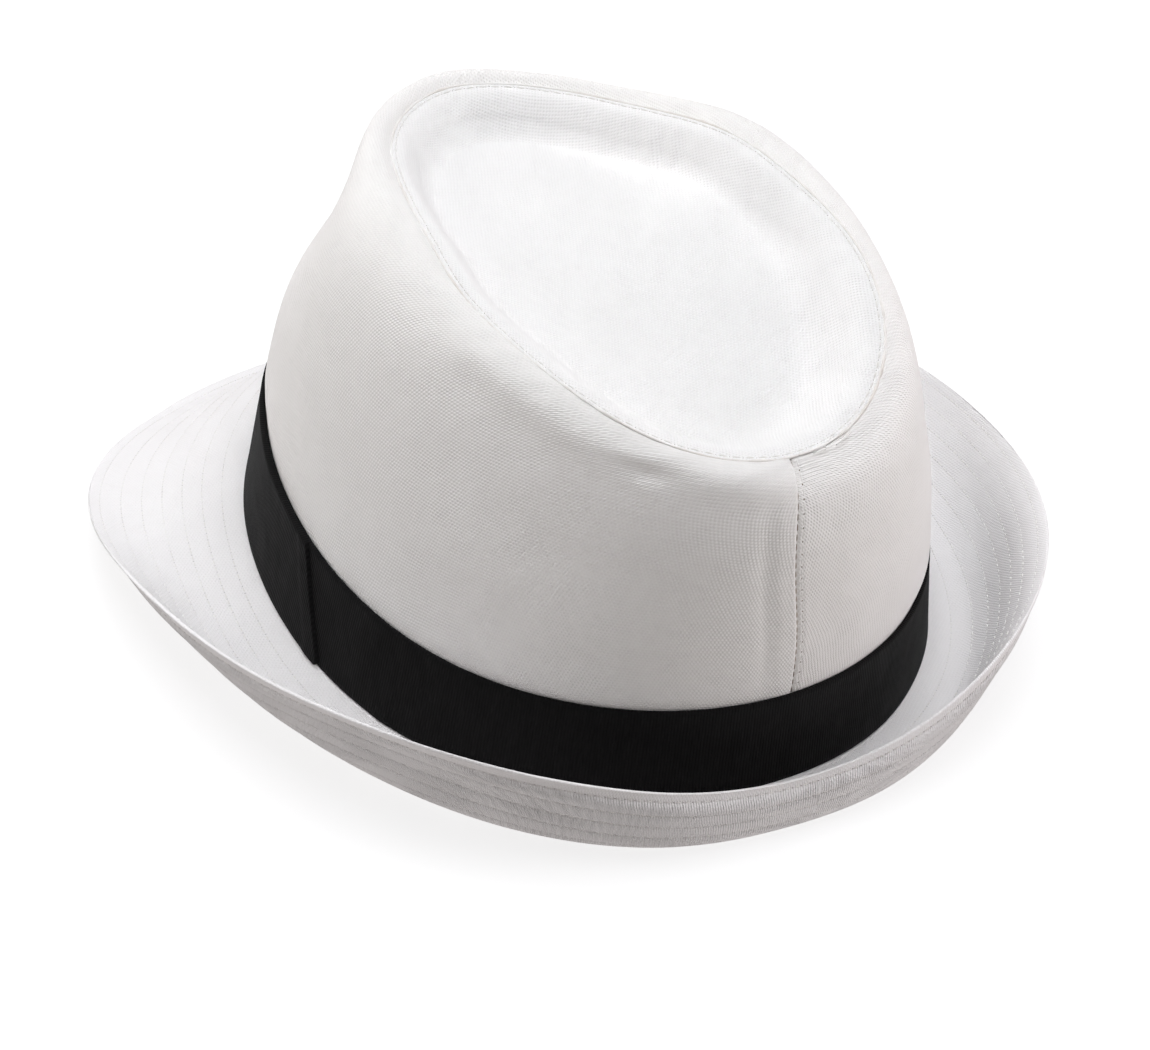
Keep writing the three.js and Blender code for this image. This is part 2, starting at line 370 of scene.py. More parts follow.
def threadRow(line, square, count, phase, look):
    # stitches along a line on the cloth: arched threads, with a small dark pit where each dips in, a dark
    # piece that paints the shade of the needle hole.
    # line and square are points and directions; the line's ends meet if it is closed.
    length = lengthAlong(line)
    whole = length[-1]
    closed = np.linalg.norm(line[0] - line[-1]) < 0.01

    def at(values):
        values = np.mod(values, whole) if closed else np.clip(values, 0, whole)
        return lineAt(values, length, line), unit(lineAt(values, length, square))

    sides, bends, pitSides = (stitchLook[key] for key in ("sides", "bends", "pitSides"))
    reach, narrow = stitchLook["reach"], stitchLook["pitNarrow"]
    pitch = whole / count
    first = (np.arange(count) + phase) * pitch
    shares = np.linspace(0, 1, bends)
    half = look["fill"] / 2
    run = (first[:, None] + pitch * mix(0.5 - half, 0.5 + half, shares)[None, :]).ravel()
    spot, way = at(run)
    side = np.cross(unit(at(run + reach)[0] - at(run - reach)[0]), way)
    arch = np.tile(np.sin(np.pi * shares) ** 0.7, count)
    centre = spot + way * mix(look["sink"], look["lift"], arch)[:, None]
    threads = ringsAbout(centre, look["radius"] * mix(stitchLook["thinEnds"], 1.0, arch), side, way, sides)
    spot, way = at(first)
    tangent = unit(at(first + reach)[0] - spot)
    side = np.cross(tangent, way) * narrow
    low = ringsAbout(spot - way * stitchLook["pitDepth"], look["pit"], tangent, side, pitSides)
    high = ringsAbout(spot + way * look["pitLift"], look["pit"] * narrow, tangent, side, pitSides)
    verts = np.concatenate([threads.reshape(-1, 3), np.concatenate([low, high], axis=1).reshape(-1, 3)])
    faces, kinds = [], []
    for n in range(count):
        faces += tubeFaces(n * bends * sides, bends, sides)
    kinds += [0] * len(faces)
    for n in range(count):
        faces += tubeFaces(count * bends * sides + n * 2 * pitSides, 2, pitSides)
    kinds += [1] * (len(faces) - len(kinds))
    return verts, faces, kinds


def threadPiece(name, rows, materials):
    # several stitch rows as one piece
    verts, faces, kinds = [], [], []
    base = 0
    for rowVerts, rowFaces, rowKinds in rows:
        verts.append(rowVerts)
        faces += [tuple(v + base for v in face) for face in rowFaces]
        kinds += rowKinds
        base += len(rowVerts)
    piece = newPiece(name, np.concatenate(verts), faces, materials)
    piece.data.polygons.foreach_set("material_index", kinds)
    return piece


def tube(line, radius, sides=6, kind=0):
    # thin thread along a line of points
    tangent = unit(np.gradient(line, axis=0))
    first = unit(np.cross(tangent, [0.3, 0.2, 0.93]))    # from a way that no thread takes
    rings = ringsAbout(line, radius, first, np.cross(tangent, first), sides)
    faces = tubeFaces(0, len(line), sides)
    return rings.reshape(-1, 3), faces, [kind] * len(faces)


# Camera, at the photo's own angle
cameraLook = {
    "azimuth": 148.071,
    "elevation": 34.919,
    "roll": 3.659,
    "location": (0.501616, 0.806771, 0.678466),
    "lens": 136.40,
    "sensor": 36.0,
}


def addCamera():
    a = cameraLook["azimuth"] * degree
    e = cameraLook["elevation"] * degree
    r = cameraLook["roll"] * degree
    back = Vector((math.sin(a) * math.cos(e), -math.cos(a) * math.cos(e), math.sin(e)))
    level = Vector((math.cos(a), math.sin(a), 0))
    upright = back.cross(level)
    right = level * math.cos(r) + upright * math.sin(r)
    up = upright * math.cos(r) - level * math.sin(r)
    data = bpy.data.cameras.new("photoCamera")
    data.lens = cameraLook["lens"]
    data.sensor_width = cameraLook["sensor"]
    data.sensor_fit = "HORIZONTAL"
    data.clip_start = 0.01
    data.clip_end = 50
    camera = addObject("photoCamera", data)
    turned = Matrix((right, up, back)).transposed().to_4x4()
    camera.matrix_world = Matrix.Translation(cameraLook["location"]) @ turned
    bpy.context.scene.camera = camera


addCamera()
print("camera placed")


# Node helpers
def newMaterial(name):
    material = bpy.data.materials.new(name)
    material.use_nodes = True
    tree = material.node_tree
    tree.nodes.clear()
    output = tree.nodes.new("ShaderNodeOutputMaterial")
    shader = tree.nodes.new("ShaderNodeBsdfPrincipled")
    tree.links.new(shader.outputs["BSDF"], output.inputs["Surface"])
    return material, tree, shader


def setSockets(node, values):
    for socket, value in values.items():
        node.inputs[socket].default_value = value


def calcIn(tree):
    def calc(operation, *values):
        node = tree.nodes.new("ShaderNodeMath")
        node.operation = operation
        for slot, value in zip(node.inputs, values):
            if isinstance(value, (int, float)):
                slot.default_value = value
            else:
                tree.links.new(value, slot)
        return node.outputs[0]
    return calc


def held(calc, value, low=0.0, high=1.0):
    return calc("MINIMUM", calc("MAXIMUM", value, low), high)


def mapParts(tree, layer, scale=(1, 1), turn=0):
    # a map's two numbers, scaled and turned
    source = tree.nodes.new("ShaderNodeUVMap")
    source.uv_map = layer
    mapping = tree.nodes.new("ShaderNodeMapping")
    setSockets(mapping, {"Scale": (scale[0], scale[1], 1), "Rotation": (0, 0, turn)})
    tree.links.new(source.outputs["UV"], mapping.inputs["Vector"])
    parts = tree.nodes.new("ShaderNodeSeparateXYZ")
    tree.links.new(mapping.outputs["Vector"], parts.inputs["Vector"])
    return parts.outputs["X"], parts.outputs["Y"], mapping.outputs["Vector"]


def noiseIn(tree, vector, scale, detail=2.0, roughness=0.5):
    node = tree.nodes.new("ShaderNodeTexNoise")
    setSockets(node, {"Scale": scale, "Detail": detail, "Roughness": roughness})
    tree.links.new(vector, node.inputs["Vector"])
    return node.outputs["Fac"]


def bumpIn(tree, height, distance, before=None):
    node = tree.nodes.new("ShaderNodeBump")
    setSockets(node, {"Distance": distance, "Strength": 1.0})
    tree.links.new(height, node.inputs["Height"])
    if before is not None:
        tree.links.new(before, node.inputs["Normal"])
    return node.outputs["Normal"]


def colourBetween(tree, factor, low, high):
    node = tree.nodes.new("ShaderNodeMix")
    node.data_type = "RGBA"
    tree.links.new(factor, node.inputs["Factor"])
    for slot, colour in ((node.inputs[6], low), (node.inputs[7], high)):
        if isinstance(colour, (tuple, list)):
            slot.default_value = (*colour, 1)
        else:
            tree.links.new(colour, slot)
    return node.outputs[2]


cottonLook = {
    # wave lengths in mm and directions in degrees of the two sets of threads; their sum gives the fine ribs
    "warp": (0.82, 56.0),
    "weft": (0.88, -50.0),
    "beads": 0.34,
    "ribs": 0.38,
    "sway": 1.8,                   # unevenness of the threads over a few mm, and over centimetres
    "wander": 8.0,
    "light": (0.975, 0.968, 0.962),
    "shade": (0.825, 0.81, 0.80),  # painted shade between the threads
    "soil": (0.89, 0.875, 0.86),
    "softDepth": 0.0018,           # m
    "weaveDepth": 0.00010,
    "fuzzDepth": 0.00003,
    "gloss": {"Specular IOR Level": 0.25, "Sheen Weight": 0.12, "Sheen Roughness": 0.45},
}


def ribbedWeave(calc, x, y, sway):
    def across(pitch, way):
        gain = calc("MULTIPLY", x, 2 * math.pi * math.cos(way * degree) / pitch)
        gain = calc("MULTIPLY_ADD", y, 2 * math.pi * math.sin(way * degree) / pitch, gain)
        return calc("ADD", gain, sway)

    warp = across(*cottonLook["warp"])
    weft = across(*cottonLook["weft"])
    beads = calc("ADD", calc("SINE", warp), calc("SINE", weft))
    ribs = calc("SINE", calc("ADD", warp, weft))
    return calc("MULTIPLY_ADD", beads, cottonLook["beads"], calc("MULTIPLY", ribs, cottonLook["ribs"]))


def cottonMaterial(name, turn=0.0, depth=1.0, tone=(1, 1, 1), rows=None):
    material, tree, shader = newMaterial(name)
    calc = calcIn(tree)
    x, y, vector = mapParts(tree, "weave", turn=turn)

    def toned(key):
        return tuple(c * t for c, t in zip(cottonLook[key], tone))

    # threads wander and vary, so the lines aren't ruled
    wander = noiseIn(tree, vector, 0.05)
    sway = noiseIn(tree, vector, 0.42)
    slub = noiseIn(tree, vector, 1.1, 2.0, 0.6)
    sway = calc("MULTIPLY_ADD", sway, cottonLook["sway"], calc("MULTIPLY", wander, cottonLook["wander"]))
    weave = ribbedWeave(calc, x, y, sway)
    # clearer in some places than in others
    clear = calc("MULTIPLY_ADD", noiseIn(tree, vector, 0.16, 3.0, 0.6), 1.6, 0.1)
    weave = calc("MULTIPLY", weave, clear)
    height = calc("MULTIPLY_ADD", slub, 0.5, weave)
    fuzz = noiseIn(tree, vector, 3.2, 3.0, 0.7)
    uneven = noiseIn(tree, vector, 0.035)
    normal = bumpIn(tree, uneven, cottonLook["softDepth"])
    normal = bumpIn(tree, height, cottonLook["weaveDepth"] * depth, before=normal)
    normal = bumpIn(tree, fuzz, cottonLook["fuzzDepth"], before=normal)
    # darker where the weave lies low: painted shade between the threads
    filled = calc("MULTIPLY_ADD", weave, 0.30 * depth, 0.68)
    filled = calc("MULTIPLY_ADD", fuzz, 0.30, calc("SUBTRACT", filled, 0.15))
    tint = colourBetween(tree, filled, toned("shade"), toned("light"))
    patch = noiseIn(tree, vector, 0.025, 3.0, 0.6)
    patch = calc("MULTIPLY", calc("MAXIMUM", calc("SUBTRACT", patch, 0.5), 0.0), 0.9)
    tint = colourBetween(tree, patch, tint, toned("soil"))
    if rows is not None:
        normal, tint = rows(tree, calc, normal, tint)
    tree.links.new(tint, shader.inputs["Base Color"])
    tree.links.new(normal, shader.inputs["Normal"])
    tree.links.new(calc("MULTIPLY_ADD", slub, 0.12, 0.82), shader.inputs["Roughness"])
    setSockets(shader, cottonLook["gloss"])
    return material


def threadMaterial(name, colour, dark):
    material, tree, shader = newMaterial(name)
    calc = calcIn(tree)
    place = tree.nodes.new("ShaderNodeTexCoord")
    twist = noiseIn(tree, place.outputs["Object"], 2400, 1.0)
    patch = noiseIn(tree, place.outputs["Object"], 60)
    patch = held(calc, calc("MULTIPLY_ADD", patch, 3.0, -1.0))
    tree.links.new(colourBetween(tree, patch, dark, colour), shader.inputs["Base Color"])
    tree.links.new(bumpIn(tree, twist, 0.00008), shader.inputs["Normal"])
    tree.links.new(calc("MULTIPLY_ADD", twist, 0.2, 0.6), shader.inputs["Roughness"])
    setSockets(shader, {"Sheen Weight": 0.15})
    return material


# Side wall of the crown
wallLook = {
    "columns": 580,
    "fineReach": 9.0,         # mm on each side of the back seam with closer columns
    "fineColumns": 44,
    "rows": 78,
    "closeRows": (0, 0.25, 0.5, 0.8, 1.15, 1.6, 2.1, 2.8, 3.6),    # mm down from the top seam
    "clothLength": 112.0,     # mm that the rows and the loose threads are spaced by
    "planRadius": 412.0,      # mm, foot of the flat cut
    "seamSway": 5.4,          # mm that the back seam strays to the +X side on its way down
    "seamSwayAt": 23.0,
    "seamSwayReach": 29.0,
    # depths and lifts in mm
    "seamGroove": 0.42,
    "allowanceWide": 5.2,
    "allowanceLift": 0.17,
    "turnedLift": 0.119,      # the narrow fold on the other side
    "stitchAt": 1.6,          # mm from the back seam to the stitches beside it
    "stitchGroove": 0.12,
    "foldDepth": 0.37,        # soft folds beside the allowance and on the other side
    "farFoldDepth": 0.25,
    "edgeTurn": 0.12,
    "puckers": 0.10,
    "widePuckers": 0.16,
    "softWaves": 0.30,
    "fullFront": 1.55,        # how far the stiffened cloth stands fuller than the plain form
    "fullSide": 0.70,
    "fullBelow": 1.25,
    "fullNose": 0.70,
    "tightShoulder": 1.45,
    "slackShoulder": 0.55,
    # the dent on the +X side: degrees round, mm down from the seam, mm to a degree and mm deep
    "dentAt": 152.5,
    "dentDown": 8.9,
    "dentRun": 1.30,
    "dentDepth": 1.45,
    "dentFoot": 0.55,
    "knob": 0.50,
    "nick": 0.45,
}


def wallColumns():
    near = np.linspace(0, wallLook["fineReach"], wallLook["fineColumns"]) / 85.0
    rest = np.linspace(-math.pi + near[-1], math.pi - near[-1], wallLook["columns"])
    return np.concatenate([-math.pi + near[:-1], rest, (math.pi - near[:-1])[::-1]])


def wallGrid():
    columns = wallColumns()
    # shares from the top seam: close rows at the seam, wider further down
    close = np.array(wallLook["closeRows"]) / wallLook["clothLength"]
    far = np.linspace(close[-1], 1, wallLook["rows"] - len(close) + 1)[1:]
    share = 1 - np.concatenate([close, far])[::-1]
    rows, length = evenT(wallFace, columns, share)
    # the columns lean with the back seam
    down = (1 - share) * length[0]
    sway = wallLook["seamSway"] * bell(down - wallLook["seamSwayAt"], wallLook["seamSwayReach"]) - 0.5
    lean = smooth((np.abs(columns) / degree - 95) / 85)
    angle = columns[None, :] - sway[:, None] / 88.0 * lean[None, :]
    return angle, rows, wallFace(angle, rows), squareTo(wallFace, angle, rows)


def wallRelief(angle, face):
    fromFoot = lengthAlong(face)
    fromSeam = fromFoot[-1] - fromFoot                     # mm down from the top seam
    rightOf = lengthRound(face)                            # mm from the back seam on the -X side
    leftOf = rightOf[:, -1:] - rightOf                     # and on the +X side
    turned = angle / degree
    side = np.abs(np.arctan2(np.sin(angle), np.cos(angle))) / degree
    height = np.zeros(face.shape[:2])
    # back seam: a pressed line, the allowance under its +X side and the stitched fold on the other
    height -= wallLook["seamGroove"] * bell(np.minimum(rightOf, leftOf), 0.40)
    wide = wallLook["allowanceWide"]
    height += wallLook["allowanceLift"] * between(leftOf, 0, 0.8, wide - 1.5, 3.0)
    height += wallLook["turnedLift"] * between(rightOf, 0, 0.8, 2.2, 1.8)
    height -= wallLook["stitchGroove"] * bell(rightOf - wallLook["stitchAt"], 0.35)
    fade = between(fromSeam, 5, 16, 55, 24)
    height -= wallLook["foldDepth"] * bell(leftOf - wide - 2.4 - 0.02 * fromSeam, 2.1) * fade
    height -= wallLook["farFoldDepth"] * bell(rightOf - 10.5, 4.5) * fade
    # top seam: the cloth turns in at the edge, with small puckers below it
    height -= wallLook["edgeTurn"] * np.clip(1 - fromSeam / 0.8, 0, 1) ** 2
    drawn = drawnIn(angle, fromSeam, 2.6, 0.05, 11, 8.0)
    height += wallLook["puckers"] * drawn * smooth(fromSeam / 0.8)
    drawn = drawnIn(angle, fromSeam, 11.0, 0.04, 12, 16.0)
    height += wallLook["widePuckers"] * drawn * smooth(fromSeam / 2.0)
    # a tighter shoulder on the +X side than on the other, with a longer dent below it and a small knob
    tight = between(turned, 92, 30, 170, 12)
    shoulderAt = 5.8 + 2.2 * smooth((162 - turned) / 14)
    height += wallLook["tightShoulder"] * bell(fromSeam - shoulderAt, 5.0) * tight
    height -= wallLook["slackShoulder"] * bell(fromSeam - 4.5, 4.0) * (1 - smooth((turned + 168) / 25))
    dentAlong = (turned - wallLook["dentAt"]) * wallLook["dentRun"]
    dentDown = fromSeam - wallLook["dentDown"] + 0.14 * dentAlong
    height -= wallLook["dentDepth"] * bell(dentAlong, 8.0) * bell(dentDown, 1.9)
    height -= wallLook["dentFoot"] * bell(dentAlong, 10.0) * bell(dentDown - 3.0, 3.2)
    height += wallLook["knob"] * bell(dentAlong - 1.0, 2.6) * bell(fromSeam - 12.8, 1.6)
    # a small nick close to the seam
    height -= wallLook["nick"] * bell(leftOf - 16.5 - 0.6 * fromSeam, 0.9) * bell(fromSeam - 2.8, 1.6)
    # soft unevenness of the whole wall, none behind the ribbon
    overRibbon = fromFoot - hatSizes["ribbonWidth"]
    waves = ripple(face[..., 0] / 17, (face[..., 1] + face[..., 2]) / 19, 13)
    height += wallLook["softWaves"] * waves * smooth(overRibbon / 9.0)
    # fuller than the plain form over the front, and above the ribbon at the back
    full = wallLook["fullFront"] * (1 - smooth((side - 42) / 48))
    full = full + wallLook["fullSide"] * bell(side - 84, 26) * bell(fromSeam - 10, 22)
    full = full + wallLook["fullBelow"] * bell(side - 140, 30) * smooth((fromSeam - 36) / 22)
    full = full + wallLook["fullNose"] * bell(side, 15) * bell(fromSeam - 7, 10)
    return height + full * smooth(fromSeam / 5.0) * smooth((overRibbon + 1.0) / 5.0)


def conePlan(face):
    # where each point lies on the flat cut of the wall, a ring sector laid out from the front
    radius = wallLook["planRadius"] - lengthAlong(face)
    run = lengthRound(face)
    turn = (run - 0.5 * run[:, -1:]) / radius
    return np.stack([radius * np.sin(turn), radius * np.cos(turn)], axis=-1)


def buildWall(material):
    angle, rows, face, square = wallGrid()
    height = wallRelief(angle, face)
    outer = laid(face + square * height[..., None])
    squares = gridSquares(outer)
    inside = fewRows(len(rows), 6)
    inner = outer[inside] - squares[inside] * hatSizes["crownCloth"]
    inner[-1] = outer[-1] - laidUp() * hatSizes["crownCloth"]
    inner[0] = laid(footInset(face[0], hatSizes["crownCloth"]))
    plan = conePlan(face)
    rings = np.concatenate([outer, inner[::-1]])
    maps = {"weave": np.concatenate([plan, plan[inside][::-1]])}
    return clothShell("crownSide", rings, maps, material), outer, squares, face


def laidUp():
    return laid(np.array([0.0, 0.0, 1.0])) - laid(np.array([0.0, 0.0, 0.0]))


def footInset(points, amount):
    r = np.hypot(points[..., 0], points[..., 1])
    share = (r - amount) / r
    return np.stack([points[..., 0] * share, points[..., 1] * share, points[..., 2]], axis=-1)


# Sunken top of the crown
topLook = {
    "columns": 600,
    "rows": 66,
    "closeRows": (0, 0.3, 0.6, 0.9, 1.2, 1.6, 2.1, 2.8, 3.8),    # mm in from the seam
    "slopeReach": 27.0,    # mm in from the seam to where the floor's rows start
    "slopeRows": 34,
    "innerShare": 0.992,   # where the last ring lies, the middle being 1
    # in mm
    "edgeRoll": 0.13,
    "edgeLift": 0.16,
    "stitchGroove": 0.12,
    "stitchIn": 1.2,       # from the seam to the stitch row
    "allowanceAt": 8.5,    # in from the seam: edge of the allowance that shows through
    "allowanceLift": 0.30,
    "puckers": 0.12,
    "crumple": 0.45,
    "softWaves": 0.20,
}


def topGrid():
    angles = onceRound(topLook["columns"])
    close = topLook["closeRows"]
    wider = np.linspace(close[-1], topLook["slopeReach"], topLook["slopeRows"])[1:]
    rows = np.concatenate([close, wider])[:, None] / seamEdge(angles)[None, :]
    last = rows[-1]
    inside = np.linspace(0, 1, topLook["rows"] - len(rows))[1:]
    rows = np.concatenate([rows, last[None, :] + (topLook["innerShare"] - last)[None, :] * inside[:, None]])
    face = topFace(angles[None, :], rows)
    square = squareTo(topFace, angles[None, :], rows)
    return angles, rows, face, square


def topRelief(angles, face, rows):
    fromSeam = rows * seamEdge(angles)[None, :]
    turned = angles[None, :] / degree + 0 * fromSeam
    height = -topLook["edgeRoll"] * np.clip(1 - fromSeam / 0.7, 0, 1) ** 2
    height += topLook["edgeLift"] * bell(fromSeam - 0.6, 0.5)
    height -= topLook["stitchGroove"] * bell(fromSeam - topLook["stitchIn"], 0.4)
    x, y = roundAbout(angles[None, :], 14.0)
    at = topLook["allowanceAt"] + 0.8 * ripple(x, y, 21)
    height += topLook["allowanceLift"] * between(fromSeam, 2.2, 1.5, at, 1.6)
    drawn = drawnIn(angles[None, :], fromSeam, 2.9, 0.04, 22, 7.0)
    height += topLook["puckers"] * drawn * smooth(fromSeam / 1.0)
    # small crumple where the dish turns in front, on the -X side
    crumple = bell(turned + 38, 9) * bell(fromSeam - 9, 5) * np.sin(turned * 0.9 + fromSeam * 0.25)
    height += topLook["crumple"] * crumple
    waves = ripple(face[..., 0] / 17, face[..., 1] / 19, 23)
    height += topLook["softWaves"] * waves * np.clip(fromSeam / 30, 0, 1)
    return height, fromSeam


def flatPlan(face, turned, base):
    # the cut laid flat: length along the cloth, out from the middle
    out = base - lengthAlong(face)
    return np.stack([out * np.sin(turned), -out * np.cos(turned)], axis=-1)


def buildTop(material):
    angles, rows, face, square = topGrid()
    height, fromSeam = topRelief(angles, face, rows)
    outer = laid(face + square * height[..., None])
    squares = gridSquares(outer)
    inside = fewRows(len(rows), 4)
    inner = outer[inside] - squares[inside] * hatSizes["topCloth"]
    inner[0] = outer[0] - laidUp() * hatSizes["topCloth"]
    total = lengthAlong(face)[-1] + np.hypot(face[-1, :, 0], face[-1, :, 1])
    plan = flatPlan(face, angles[None, :], total[None, :])
    rings = np.concatenate([inner[::-1], outer])    # from the middle below to the seam and back above
    maps = {"weave": np.concatenate([plan[inside][::-1], plan])}
    middle = np.array([0.0, 0.0, hatSizes["floorHeight"]])
    lift = height[-1].mean()
    poles = [laid(middle + [0, 0, lift - hatSizes["topCloth"]]), laid(middle + [0, 0, lift])]
    return clothShell("crownTop", rings, maps, material, poles=poles), outer, squares, fromSeam


# Brim
brimLook = {
    "columns": 620,
    "stitchRows": 7.7,     # row spaces between the edge and the crease
    "firstRow": 0.5,       # first row, in row spaces from the edge
    "lastGap": 0.3,        # no row closer to the crease than this
    "rowSteps": (0, 0.08, 0.2, 0.38, 0.62, 0.8, 0.92),
    "edgeSteps": (0, 0.06, 0.14, 0.24, 0.36, 0.47),
    "grooveAbove": 0.007,  # groove and puff, as shares of the row space
    "puffAbove": 0.010,
    "grooveBelow": 0.050,
    "puffBelow": 0.030,
    "softWaves": 0.20,     # mm
    "edgeWelt": 0.05,
    "weltAt": 1.1,
    "weltReach": 1.2,
    "weltBelow": 0.6,      # share of the welt on the under face
    "edgeRound": 0.24,
    "edgeThin": 0.70,      # share of the thickness lost towards the edge
    "thinReach": 5.0,
    "foldSteps": (0.08, 0.25, 0.5, 0.75, 0.92),
    "rowMapLength": 760,   # the rows' map: mm once round, and where the under face starts
    "underAt": 1000.0,
}


def brimRowShares():
    # shares from the edge to the crease, with the stitch rows on grid rows
    spaces = brimLook["stitchRows"]
    marks = list(brimLook["edgeSteps"])
    row = brimLook["firstRow"]
    while row < spaces:
        marks += [row + step for step in brimLook["rowSteps"]]
        row += 1
    marks = np.array(sorted(m for m in marks if m < spaces - 0.03) + [spaces])
    return marks / spaces


def rowWave(share, spacing, puff, groove):
    # puffed between the stitch rows and drawn in along them
    place = share * brimLook["stitchRows"] - brimLook["firstRow"]
    off = np.abs((place + 0.5) % 1.0 - 0.5)
    wave = puff * spacing * np.sin(np.pi * np.clip(off, 0, 0.5)) ** 0.6
    wave -= groove * spacing * bell(off, 0.07)
    started = smooth((place + 0.35) / 0.3)
    return wave * started


def buildBrim(material):
    angles = onceRound(brimLook["columns"])
    share = brimRowShares()                      # 0 at the edge, 1 at the crease
    outward = (1 - share)[::-1]                  # from the crease outwards
    rows, length = evenT(brimFace, angles, outward)
    face = brimFace(angles[None, :], rows)
    down = squareTo(brimFace, angles[None, :], rows)
    spacing = (length / brimLook["stitchRows"])[None, :]
    inward = (1 - outward)[:, None]
    fromEdge = inward * length[None, :]
    place = inward + 0 * fromEdge
    above = rowWave(place, spacing, brimLook["puffAbove"], brimLook["grooveAbove"])
    below = rowWave(place, spacing, brimLook["puffBelow"], brimLook["grooveBelow"])
    weltRise = np.clip(1 - ((fromEdge - brimLook["weltAt"]) / brimLook["weltReach"]) ** 2, 0, 1)
    welt = brimLook["edgeWelt"] * np.sqrt(weltRise)
    soft = brimLook["softWaves"] * ripple(face[..., 0] / 13, face[..., 1] / 14, 31)
    cloth = hatSizes["brimCloth"]
    upper = laid(face - down * (above + welt + soft)[..., None])
    thin = 1 - brimLook["edgeThin"] * (1 - smooth(fromEdge / brimLook["thinReach"]))
    lowerFace = face + down * (cloth * thin)[..., None]
    lower = laid(lowerFace + down * (below + welt * brimLook["weltBelow"] - soft)[..., None])
    # the fold at the edge
    outwardWay = unit(face[-1] - face[-3])
    fold = []
    for part in brimLook["foldSteps"]:
        swell = brimLook["edgeRound"] * math.sqrt(1 - (2 * part - 1) ** 2)
        row = laid(face[-1] + down[-1] * cloth * thin[-1][:, None] * part + outwardWay * swell)
        fold.append(rested(row, cloth * (1 - part)))
    inset = hatSizes["ribbonCloth"] + hatSizes["sewnGap"] + hatSizes["seamAllowance"]
    hidden = footInset(face[0], inset)
    hiddenBelow = hidden - np.array([0, 0, cloth])
    top = rested(np.concatenate([laid(hidden)[None], upper]), cloth)
    bottom = rested(np.concatenate([laid(hiddenBelow)[None], lower]), 0.0)
    rings = np.concatenate([top, np.array(fold), bottom[::-1]])[::-1]
    out = creaseR(angles)[None, :] + outward[:, None] * length[None, :]
    plan = np.stack([out * np.sin(angles)[None, :], -out * np.cos(angles)[None, :]], axis=-1)
    run = lengthRound(face)
    rowPlace = inward * brimLook["stitchRows"] + 0 * run
    rowMap = np.stack([run / run[:, -1:] * brimLook["rowMapLength"], rowPlace], axis=-1)
    # the under face has its own part of the rows' map
    under = rowMap + np.array([brimLook["underAt"], 0])

    def mapRings(above, below):
        edge = np.repeat(above[-1:], len(fold), axis=0)
        return np.concatenate([above[:1], above, edge, below[::-1], below[:1]])[::-1]

    maps = {"weave": mapRings(plan, plan), "rows": mapRings(rowMap, under)}
    piece = clothShell("brimCloth", rings, maps, material)
    return piece, rested(upper, cloth)[::-1], rested(lower, 0.0)[::-1], share


# Fine ribs drawn up across the stitch rows of the brim, with painted shade in their troughs, and the rows'
# own painted line of shade
puckerLook = {
    "ribPitch": 0.68,          # mm
    "lean": 0.9,               # each row space leans its own way
    "wander": 5.0,
    "flattest": 0.65,          # share of the ribs left where the cloth lies flatter
    "above": 0.18,             # share of them on the upper face
    "depth": 0.00015,          # m
    "shade": (0.60, 0.57, 0.57),
    "lineShade": (0.42, 0.39, 0.38),
    "lineBelow": 0.38,         # strength of the painted line of shade on the under face
    "lineThin": 260.0,
}


def brimPuckers(tree, calc, normal, tint):
    across, place, _ = mapParts(tree, "rows")
    under = calc("GREATER_THAN", across, 0.5 * (brimLook["underAt"] + brimLook["rowMapLength"]))
    spot = tree.nodes.new("ShaderNodeCombineXYZ")
    tree.links.new(calc("MULTIPLY", across, 0.05), spot.inputs["X"])
    tree.links.new(place, spot.inputs["Y"])
    wander = noiseIn(tree, spot.outputs["Vector"], 1.6)
    space = calc("FLOOR", calc("ADD", place, 0.5))
    lean = calc("MULTIPLY", calc("SINE", calc("MULTIPLY", space, 2.3)), puckerLook["lean"])
    phase = calc("MULTIPLY", across, 2 * math.pi / puckerLook["ribPitch"])
    phase = calc("MULTIPLY_ADD", wander, puckerLook["wander"], phase)
    ribs = calc("SINE", calc("MULTIPLY_ADD", place, lean, phase))
    patchy = noiseIn(tree, spot.outputs["Vector"], 0.9)
    patchy = held(calc, calc("MULTIPLY_ADD", patchy, 2.0, -0.2), puckerLook["flattest"])
    inward = held(calc, calc("MULTIPLY_ADD", place, 2.0, -0.5))
    ribs = calc("MULTIPLY", calc("MULTIPLY", ribs, patchy), inward)
    ribs = calc("MULTIPLY", ribs, calc("MULTIPLY_ADD", under, 1 - puckerLook["above"], puckerLook["above"]))
    normal = bumpIn(tree, ribs, puckerLook["depth"], before=normal)
    # darker in the ribs' troughs: painted shade, with a slight even tint over the whole brim
    tint = colourBetween(tree, calc("MULTIPLY_ADD", ribs, -0.10, 0.08), tint, puckerLook["shade"])
    # a dashed painted line of shade along each stitch row, on the under face only
    off = calc("SUBTRACT", calc("FRACT", calc("ADD", place, 1.5 - brimLook["firstRow"])), 0.5)
    line = calc("POWER", 2.718, calc("MULTIPLY", calc("MULTIPLY", off, off), -puckerLook["lineThin"]))
    dashes = noiseIn(tree, spot.outputs["Vector"], 6.2, 2.0, 0.6)
    dashes = held(calc, calc("MULTIPLY_ADD", dashes, 5.0, -1.9))
    line = calc("MULTIPLY", calc("MULTIPLY", line, dashes), calc("MULTIPLY", under, puckerLook["lineBelow"]))
    return normal, colourBetween(tree, line, tint, puckerLook["lineShade"])


